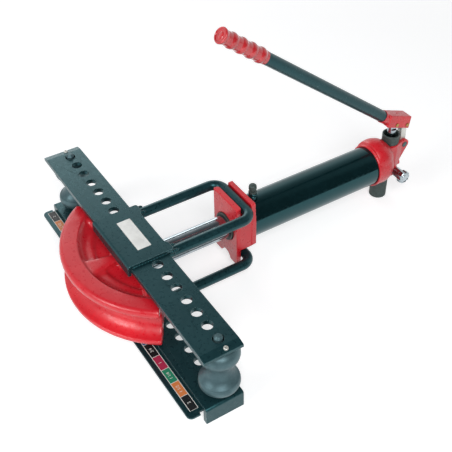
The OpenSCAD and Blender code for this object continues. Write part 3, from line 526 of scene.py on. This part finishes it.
def casting(node, voxel, rounds, pockets=None):
    """Replaces a node by its solid with edges softened in rounds, and wide fillets in pockets."""
    source = nodes[node]
    made = applied(
        source.data.copy(),
        ("WELD", {"merge_threshold": WELD_GAP}),
        ("REMESH", {"mode": "VOXEL", "voxel_size": voxel}),
        ("SMOOTH", {"factor": 0.5, "iterations": rounds}))
    if pockets:
        wide = {"factor": 0.5, "iterations": FILLET_ROUNDS, "vertex_group": FILLET}
        made = applied(made, ("SMOOTH", wide), weight=pockets)
    made = applied(made, ("DECIMATE", {"ratio": FACES_KEPT}))
    made.name = node + "_cast"
    made.shade_smooth()
    made.materials.clear()
    made.materials.append(materials["red_casting"])
    piece = add_object(node + "_cast", made)
    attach(piece, source["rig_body"])
    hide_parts(node)


# Broken edges of the plates, in metres
def break_edges(node, width):
    weld = nodes[node].modifiers.new("weld", "WELD")
    weld.merge_threshold = WELD_GAP
    bevel = nodes[node].modifiers.new("bevel", "BEVEL")
    bevel.width = width
    bevel.segments = 2
    bevel.angle_limit = math.radians(40)
    bevel.use_clamp_overlap = False


# Saddles: a plate with a lip bent down in front. Its rear edge is cut back between two ears, which
# lie on the U-bar's arms
def make_saddle(node, body, flip):
    half_len, thick, lip, front, rear = 75.0, 6.5, 17.0, -46.5, 42.5
    cut, cut_from, cut_to, corner, chamfer = 5.5, 44.0, 58.0, 5.0, 0.7
    first_station, station_step, station_count, bend_steps = 1.0, 0.75, 198, 8
    low = SADDLE_TOP - thick

    def rear_at(y):
        t = min(1.0, max(0.0, (abs(y) - cut_from) / (cut_to - cut_from)))
        over = max(0.0, abs(y) - half_len + corner)
        return rear - cut * (1 - t * t * (3 - 2 * t)) - corner + math.sqrt(corner * corner - over * over)

    def section(y, inset):
        end, outer = rear_at(y) - inset, front - thick + inset
        bottom, base, top = low - lip + inset, low + inset, SADDLE_TOP - inset
        bend = [math.radians(90 + 90 * i / bend_steps) for i in range(bend_steps + 1)]
        return [
            (front - inset, bottom + chamfer), (front - inset, base),
            (end - chamfer, base), (end, base + chamfer), (end, top - chamfer), (end - chamfer, top),
            *((front + (thick - inset) * math.cos(a), low + (thick - inset) * math.sin(a)) for a in bend),
            (outer, bottom + chamfer), (outer + chamfer, bottom), (front - inset - chamfer, bottom),
        ]

    stations = [(-half_len, chamfer), (-half_len + chamfer, 0.0)]
    stations += [(-half_len + first_station + station_step * i, 0.0) for i in range(station_count)]
    stations += [(half_len - chamfer, 0.0), (half_len, chamfer)]
    bm = bmesh.new()
    close_rings(bm, [
        [bm.verts.new(at(x, y, AXIS_Z + flip * up)) for x, up in section(y, inset)]
        for y, inset in stations
    ])
    piece = add_piece(node + "_eared", bm, body, "green_paint", smooth=30)
    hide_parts(node)


# Blank plate on the saddle
def make_plate():
    width, length, corner, middle_x = 28.0, 88.0, 1.6, -2.0
    sunk, wall, top, top_share = -0.05, 0.35, 0.5, 0.99
    saddle_z = AXIS_Z + SADDLE_TOP
    outline = rounded_rectangle(width, length, corner)
    bm = bmesh.new()
    close_rings(bm, [
        [bm.verts.new(at(x * share + middle_x, y * share, saddle_z + z)) for x, y in outline]
        for share, z in ((1.0, sunk), (1.0, wall), (top_share, top))
    ])
    g = Graph("blank_plate")
    base = g.mix(g.span(g.noise(60, 4, 0.6), 0.3, 0.7), srgb(226, 226, 222), srgb(240, 240, 236))
    g.set(Base_Color=g.mix(g.math("MULTIPLY", g.edge(0.0006), 0.5), base, srgb(150, 154, 152)))
    g.set(Roughness=g.span(g.noise(200, 3, 0.5), 0.3, 0.7, 0.3, 0.42))
    g.set(Normal=g.bump(g.noise(1300, 2, 0.5), 0.0001, 0.2))
    add_piece("blank_plate", bm, "upper_frame", None, material=g.material)


# Size label on the rail: one bordered cell beside each pin hole, with its tube size
SIZES = ("3/8", "1/2", "3/4", "1", "1 1/4", "1 1/2", "2")
CELLS = (
    srgb(196, 172, 60), srgb(58, 96, 140), srgb(22, 26, 28), srgb(168, 42, 74),
    srgb(34, 128, 96), srgb(208, 122, 66), srgb(22, 26, 28),
)
PRINT_WHITE = srgb(228, 228, 222)
PRINT = "print"
NEAR_LABEL_SHIFT = 6.5


def digits(text, size):
    """Flat mesh of plain figures, centred on the origin."""
    curve = bpy.data.curves.new("digits", "FONT")
    curve.body = text
    curve.size = size / 1000
    curve.align_x = "CENTER"
    curve.align_y = "CENTER"
    curve.resolution_u = 3
    mesh = baked(add_object("digits", curve))
    bpy.data.curves.remove(curve)
    return mesh


def make_label(side, name, material, first):
    x0, x1, border, top, thick = -67.0, -50.0, 1.0, 28.0, 0.3
    figure_size, figure_lift, same_spot = 8.5, 0.36, 0.00001
    bm = bmesh.new()
    tone = bm.loops.layers.float_color.new(PRINT)

    def ink(made, colour):
        for loop in made.loops:
            loop[tone] = colour

    def face(corners, colour):
        ink(bm.faces.new([bm.verts.new(at(*c)) for c in corners]), colour)

    def sheet(xa, xb, ya, yb, z, colour):
        face(((xa, ya, z), (xb, ya, z), (xb, yb, z), (xa, yb, z)), colour)

    start = first - HOLE_PITCH / 2
    cuts_x = (x0, x0 + border, x1 - border, x1)
    for i, colour in enumerate(CELLS):
        ya = start + HOLE_PITCH * i
        yb = ya + HOLE_PITCH
        cuts_y = (ya, ya + border / 2, yb - border / 2, yb)
        for a in range(3):
            for b in range(3):
                inside = a == 1 and b == 1
                sheet(cuts_x[a], cuts_x[a + 1], side * cuts_y[b], side * cuts_y[b + 1], top + thick,
                      colour if inside else PRINT_WHITE)
    end = start + HOLE_PITCH * len(CELLS)
    corners = ((x0, start), (x1, start), (x1, end), (x0, end))
    for (xa, ya), (xb, yb) in zip(corners, corners[1:] + corners[:1]):
        face(((xa, side * ya, top), (xb, side * yb, top), (xb, side * yb, top + thick),
              (xa, side * ya, top + thick)), PRINT_WHITE)
    bmesh.ops.remove_doubles(bm, verts=bm.verts, dist=same_spot)
    turn = Matrix.Rotation(math.radians(90), 4, "Z")
    for i, text in enumerate(SIZES):
        figures = digits(text, figure_size)
        middle = at((x0 + x1) / 2, side * (first + HOLE_PITCH * i), top + figure_lift)
        figures.transform(Matrix.Translation(middle) @ turn)
        before = set(bm.faces)
        bm.from_mesh(figures)
        for made in set(bm.faces) - before:
            ink(made, PRINT_WHITE)
        bpy.data.meshes.remove(figures)
    for made in bm.faces:
        if made.normal.z < 0:
            made.normal_flip()
    mesh = to_mesh(name, bm)
    mesh.materials.append(material)
    piece = add_object(name, mesh)
    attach(piece, "machine")


def label_material():
    g = Graph("printed_label")
    ink = g.add("ShaderNodeVertexColor", layer_name=PRINT).outputs["Color"]
    worn = g.span(g.noise(130, 5, 0.7), 0.64, 0.72, 0.0, 0.5)
    g.set(Base_Color=g.mix(worn, ink, srgb(120, 122, 118)))
    g.set(Roughness=g.span(g.noise(90, 3, 0.5), 0.3, 0.7, 0.34, 0.48))
    g.set(Normal=g.bump(g.noise(1200, 2, 0.5), 0.0001, 0.2))
    return g.material


# Weld beads on a wing: round the ends of the U-bar's arms, along the saddle's rear edge where it
# lies on the arms, and along the saddle's sides
def bead(bm, path, radius, side):
    """A tube along the points of path with the ripples of a weld, swept at right angles to side."""
    sides, last = 10, len(path) - 1
    least, ripple, ripple_points = 0.82, 0.18, 4
    end_share, end_growth = 0.4, 0.2
    tube = []
    for i, here in enumerate(path):
        along = (path[min(i + 1, last)] - path[max(i - 1, 0)]).normalized()
        across = along.cross(side)
        swell = radius / 1000 * (least + ripple * abs(math.sin(i * math.pi / ripple_points)))
        swell *= min(1.0, end_share + end_growth * min(i, last - i))
        ring = []
        for j in range(sides):
            a = 2 * math.pi * j / sides
            ring.append(bm.verts.new(here + swell * (side * math.cos(a) + across * math.sin(a))))
        tube.append(ring)
    close_rings(bm, tube)


def make_welds(name, body, flip):
    arm_y, arm_r, arm_up, arc_steps = 64.5, 10.5, 59.0, 28
    end_x, end_bead, end_arcs = 31.0, 2.5, ((-60, 35), (145, 240))
    rear_x, rear_bead, rear_arc, rear_gap = 42.5, 2.6, (8, 172), 0.8
    lap_x, lap_step, lap_points, lap_y, lap_up, lap_bead = 32.0, 1.25, 18, 8.2, 67.2, 3.6
    flank_x, flank_step, flank_points, flank_y, flank_up, flank_bead = -44.0, 1.5, 49, 75.6, 70.8, 3.0
    along, lift = Vector((1, 0, 0)), Vector((0, 0, 1))
    bm = bmesh.new()

    def round_arm(x, side, arc, r):
        start, end = arc
        path = []
        for i in range(arc_steps + 1):
            a = math.radians(start + (end - start) * i / arc_steps)
            y, up = r * math.cos(a), arm_up + r * math.sin(a)
            path.append(at(x, side * (arm_y + y), AXIS_Z + flip * up))
        return path

    def straight(x, step, points, y, up):
        return [at(x + step * i, y, AXIS_Z + flip * up) for i in range(points)]

    for side in (-1, 1):
        for arc in end_arcs:
            bead(bm, round_arm(end_x, side, arc, arm_r), end_bead, along)
        bead(bm, round_arm(rear_x, side, rear_arc, arm_r + rear_gap), rear_bead, along)
        for flank in (-1, 1):
            lap = straight(lap_x, lap_step, lap_points, side * arm_y + flank * lap_y, lap_up)
            bead(bm, lap, lap_bead, lift)
        edge = straight(flank_x, flank_step, flank_points, side * flank_y, flank_up)
        bead(bm, edge, flank_bead, lift)
    add_piece(name, bm, body, "green_paint", smooth=60)


# Knurled pieces: the foot and the gland cup
def knurl(depth, teeth, low, high, lead):
    """Crossed grooves between two heights of a turned piece, beyond its bore."""
    bore_r, run_out = 12.5, 1.0

    def wave(r, z, angle):
        if r < bore_r or not low < z < high:
            return r
        a = math.sin(teeth * angle + lead * z)
        b = math.sin(teeth * angle - lead * z)
        fade = min(1.0, (z - low) / run_out, (high - z) / run_out)
        return r - depth * fade * (0.5 - 0.25 * (abs(a) + abs(b)))
    return wave


def fine_profile(points, step):
    """The closed profile with more points on its long sides."""
    made = []
    for (ra, za), (rb, zb) in zip(points, points[1:] + points[:1]):
        count = max(1, int(math.hypot(rb - ra, zb - za) / step))
        for i in range(count):
            t = i / count
            made.append((ra + (rb - ra) * t, za + (zb - za) * t))
    return made


def make_foot():
    foot_x, foot_r, height, low_edge, top_edge = 611.0, 19.0, 52.0, 2.0, 1.0
    bolt_r, head_r, head_deep = 4.2, 8.4, 9.0
    profile = [
        (bolt_r, head_deep), (head_r, head_deep), (head_r, 0.0), (foot_r - low_edge, 0.0),
        (foot_r, low_edge), (foot_r, height - top_edge), (foot_r - top_edge, height), (bolt_r, height),
    ]
    grooves = knurl(depth=1.1, teeth=36, low=5.0, high=48.0, lead=1.8)
    bm = bmesh.new()
    place = Matrix.Translation(at(foot_x, 0, 0))
    lathe(bm, fine_profile(profile, step=1.1), place, grooves, segments=216)
    piece = add_piece("rear_foot_knurled", bm, "machine", "dark_steel", smooth=60)
    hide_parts("rear_foot")


def make_gland_cup():
    gland_x, seat_z, bore_r, thread_r, thread_len = 628.0, 138.5, 10.1, 13.8, 12.0
    cup_r, cup_h, cup_bore_r, cup_floor = 19.0, 23.0, 16.0, 6.0
    low_edge, rim_edge, bore_edge = 1.0, 0.8, 0.6
    profile = [
        (bore_r, -thread_len), (thread_r, -thread_len), (thread_r, 0.0), (cup_r - low_edge, 0.0),
        (cup_r, low_edge), (cup_r, cup_h - rim_edge), (cup_r - rim_edge, cup_h),
        (cup_bore_r + bore_edge, cup_h), (cup_bore_r, cup_h - bore_edge), (cup_bore_r, cup_floor),
        (bore_r, cup_floor),
    ]
    grooves = knurl(depth=0.9, teeth=30, low=2.0, high=17.0, lead=1.5)
    bm = bmesh.new()
    place = Matrix.Translation(at(gland_x, 0, seat_z))
    lathe(bm, fine_profile(profile, step=1.0), place, grooves, segments=216)
    piece = add_piece("pump_gland_knurled", bm, "machine", "dark_steel", smooth=60)
    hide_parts("pump_gland")


# Knob of the release valve: a fluted disc with a dished face on a faceted collar. Its heights are
# counted from the machine's middle plane
def make_knob():
    valve_x, valve_z, start, collar_end, face = 634.0, 70.0, 23.8, 42.7, 54.9
    collar_r, neck_r, disc_r, dish_r, button_r = 10.8, 10.0, 15.0, 10.6, 5.2
    flute_deep, flutes, facet_deep, facets = 1.4, 10, 0.6, 8
    profile = [
        (0.0, start), (collar_r - 1.0, start), (collar_r, start + 1.0), (collar_r, collar_end - 1.9),
        (neck_r, collar_end - 1.2), (neck_r, collar_end - 0.1), (disc_r - 1.0, collar_end + 0.1),
        (disc_r, collar_end + 1.3), (disc_r, face - 1.2), (disc_r - 1.0, face), (dish_r + 1.2, face),
        (dish_r, face - 1.2), (button_r + 0.8, face - 1.6), (button_r, face - 0.7),
        (1.8, face - 0.4), (0.0, face - 0.4),
    ]

    def wave(r, z, angle):
        if z > collar_end and r > disc_r - 1.5:
            return r - flute_deep * abs(math.sin(flutes / 2 * angle))
        if z < collar_end and r > collar_r - 0.3:
            return r - facet_deep * abs(math.sin(facets / 2 * angle))
        return r

    place = Matrix.Translation(at(valve_x, 0, valve_z)) @ Matrix.Rotation(math.radians(90), 4, "X")
    bm = bmesh.new()
    lathe(bm, profile, place, wave, segments=160)
    piece = add_piece("valve_knob_fluted", bm, "release_valve", "chrome", smooth=30)
    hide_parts("valve_knob")


# Grip: round ribs and a dished end with a raised button. The lever's pivot carries the socket, and
# the handle's tube starts in the socket
def make_grip():
    pivot_x, pivot_z, lever_tilt = 658.0, 180.0, 20.9
    socket, handle_tilt, handle_len = Vector((-74.3, 0, 12.3)) / 1000, 16.9, 503.0
    length, bore, least, largest, plain, ribs = 117.0, 12.5, 13.5, 15.5, 2.0, 5
    mouth, dome, end_wall, steps = 0.8, 1.6, 12.0, 144
    rim_r, dish_r, button_r = 12.4, 11.3, 6.2
    pitch = (length - 2 * plain) / (ribs - 0.5)
    bulge = pitch / 2

    def radius(z):
        found = least
        for i in range(ribs):
            off = z - plain - pitch * (i + 0.5)
            if abs(off) < bulge:
                found = max(found, largest - bulge + math.sqrt(bulge * bulge - off * off))
        return found

    heights = [mouth + (length - mouth - dome) * i / steps for i in range(steps + 1)]
    profile = [(bore, 0.0), (least - mouth, 0.0)]
    profile += [(radius(z), z) for z in heights]
    profile += [
        (rim_r + 2.4, length - 0.5), (rim_r + 1.4, length), (rim_r, length),
        (dish_r + 0.4, length - 0.6), (dish_r, length - 1.8), (button_r + 0.8, length - 1.9),
        (button_r, length - 1.2), (0.0, length - 1.0), (0.0, length - end_wall),
        (bore, length - end_wall),
    ]
    place = (
        Matrix.Translation(at(pivot_x, 0, pivot_z)) @ Matrix.Rotation(math.radians(lever_tilt), 4, "Y")
        @ Matrix.Translation(socket) @ Matrix.Rotation(math.radians(handle_tilt - 90), 4, "Y")
        @ Matrix.Translation((0, 0, (handle_len - length) / 1000)))
    bm = bmesh.new()
    lathe(bm, profile, place, segments=96)
    piece = add_piece("handle_grip_ribbed", bm, "lever", "red_grip", smooth=40)
    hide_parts("handle_grip")


# Vent on the tube: a stepped boss, and a screw with a hexagon flange and a round cap
VENT_X = 265.0


def make_vent_boss():
    bore_r, base_r, neck_r, low, step, top = 4.05, 10.5, 8.4, 143.4, 151.2, 155.0
    profile = [
        (bore_r, low), (base_r, low), (base_r, step - 1.0), (base_r - 0.9, step),
        (neck_r + 0.4, step + 0.2), (neck_r, step + 0.8), (neck_r, top - 0.4), (neck_r - 0.4, top),
        (bore_r, top),
    ]
    bm = bmesh.new()
    lathe(bm, profile, Matrix.Translation(at(VENT_X, 0, 0)), segments=72)
    piece = add_piece("vent_boss_stepped", bm, "machine", "gloss_green")
    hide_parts("vent_boss")


def make_vent_screw():
    seat_z, thread_r, thread_len = 155.4, 3.9, 9.0
    flange_r, flange_h, flange_flat, neck_r = 8.8, 4.5, 7.7, 5.0
    cap_r, cap_top, grip_low, grip_high, grip_deep, grip_teeth = 8.2, 20.7, 9.8, 16.5, 0.4, 30
    profile = [
        (0.0, -thread_len), (thread_r, -thread_len), (thread_r, 0.2), (flange_r - 0.6, 0.2),
        (flange_r, 0.9), (flange_r, flange_h - 0.7), (flange_r - 0.7, flange_h),
        (neck_r + 0.2, flange_h), (neck_r, flange_h + 2.5), (cap_r - 2.0, 7.8), (cap_r - 0.3, 9.2),
        (cap_r, 10.5), (cap_r, 15.5), (cap_r - 0.5, cap_top - 2.9), (cap_r - 2.0, cap_top - 1.2),
        (cap_r - 4.6, cap_top - 0.3), (0.0, cap_top),
    ]

    def wave(r, z, angle):
        if 0.0 < z < flange_h + 0.5 and r > neck_r + 1.5:
            return min(r, hexagon(flange_flat, angle))
        if grip_low < z < grip_high and r > cap_r - 0.7:
            return r - grip_deep * abs(math.sin(grip_teeth / 2 * angle))
        return r

    bm = bmesh.new()
    lathe(bm, profile, Matrix.Translation(at(VENT_X, 0, seat_z)), wave, segments=120)
    piece = add_piece("vent_screw_capped", bm, "vent", "dark_steel", smooth=40)
    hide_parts("vent_screw")


# Screws near the wing's ends: round heads with a hexagon socket, square to the bevelled face
def make_screws():
    screw_y, face_z, bevel_drop, bevel_len = 320.6, 165.25, 3.5, 15
    shank_r, shank_len, head_r, head_h = 3.0, 3.5, 4.5, 3.2
    socket_r, socket_flat, socket_floor = 2.4, 2.1, 1.0
    profile = [
        (0.0, -shank_len), (shank_r, -shank_len), (shank_r, 0.0), (head_r - 0.1, 0.0), (head_r, 0.8),
        (head_r - 0.2, 1.8), (head_r - 0.7, 2.6), (head_r - 1.4, head_h - 0.1),
        (socket_r + 0.2, head_h), (socket_r, head_h - 0.2), (socket_r, socket_floor + 0.2),
        (0.0, socket_floor),
    ]

    def wave(r, z, angle):
        if r > socket_r + 0.1 or z < socket_floor - 0.4:
            return r
        return hexagon(socket_flat, angle) * r / socket_r

    bm = bmesh.new()
    for side in (-1, 1):
        tilt = Matrix.Rotation(-side * math.atan2(bevel_drop, bevel_len), 4, "X")
        place = Matrix.Translation(at(0, side * screw_y, face_z)) @ tilt
        lathe(bm, profile, place, wave)
    piece = add_piece("wing_end_screws_heads", bm, "upper_frame", "zinc", smooth=40)
    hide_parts("wing_end_screws")


# Retaining rings on the ends of the lug's pin
def make_rings():
    pin_x, pin_z, lug_face, inner_r, outer_r, thick, edge = 660.0, 127.0, 13.5, 4.1, 6.5, 0.9, 0.3
    profile = [
        (inner_r, 0.0), (outer_r - edge, 0.0), (outer_r, edge), (outer_r, thick - 0.2),
        (outer_r - edge, thick), (inner_r, thick),
    ]
    bm = bmesh.new()
    for side in (-1, 1):
        outward = Matrix.Rotation(math.radians(-90 * side), 4, "X")
        lathe(bm, profile, Matrix.Translation(at(pin_x, side * lug_face, pin_z)) @ outward)
    add_piece("lug_pin_rings", bm, "machine", "dark_steel")


make_camera()
make_world()
make_lamps()
make_floor()
dress_nodes()
casting("former", voxel=0.0016, rounds=7, pockets=former_pockets())
casting("yoke_block", voxel=0.0012, rounds=3)
casting("pump_body", voxel=0.0009, rounds=2)
casting("lever_head", voxel=0.0007, rounds=4)
for plate_node in ("upper_wing", "lower_wing", "label_rail"):
    break_edges(plate_node, width=0.0007)
make_saddle("upper_saddle", "upper_frame", 1)
make_saddle("lower_saddle", "machine", -1)
make_plate()
printed = label_material()
make_label(-1, "size_label_near", printed, HOLE_FIRST - NEAR_LABEL_SHIFT)
make_label(1, "size_label_far", printed, HOLE_FIRST)
make_welds("upper_welds", "upper_frame", 1)
make_welds("lower_welds", "machine", -1)
make_foot()
make_gland_cup()
make_knob()
make_grip()
make_vent_boss()
make_vent_screw()
make_screws()
make_rings()

scene.view_settings.view_transform = "Standard"
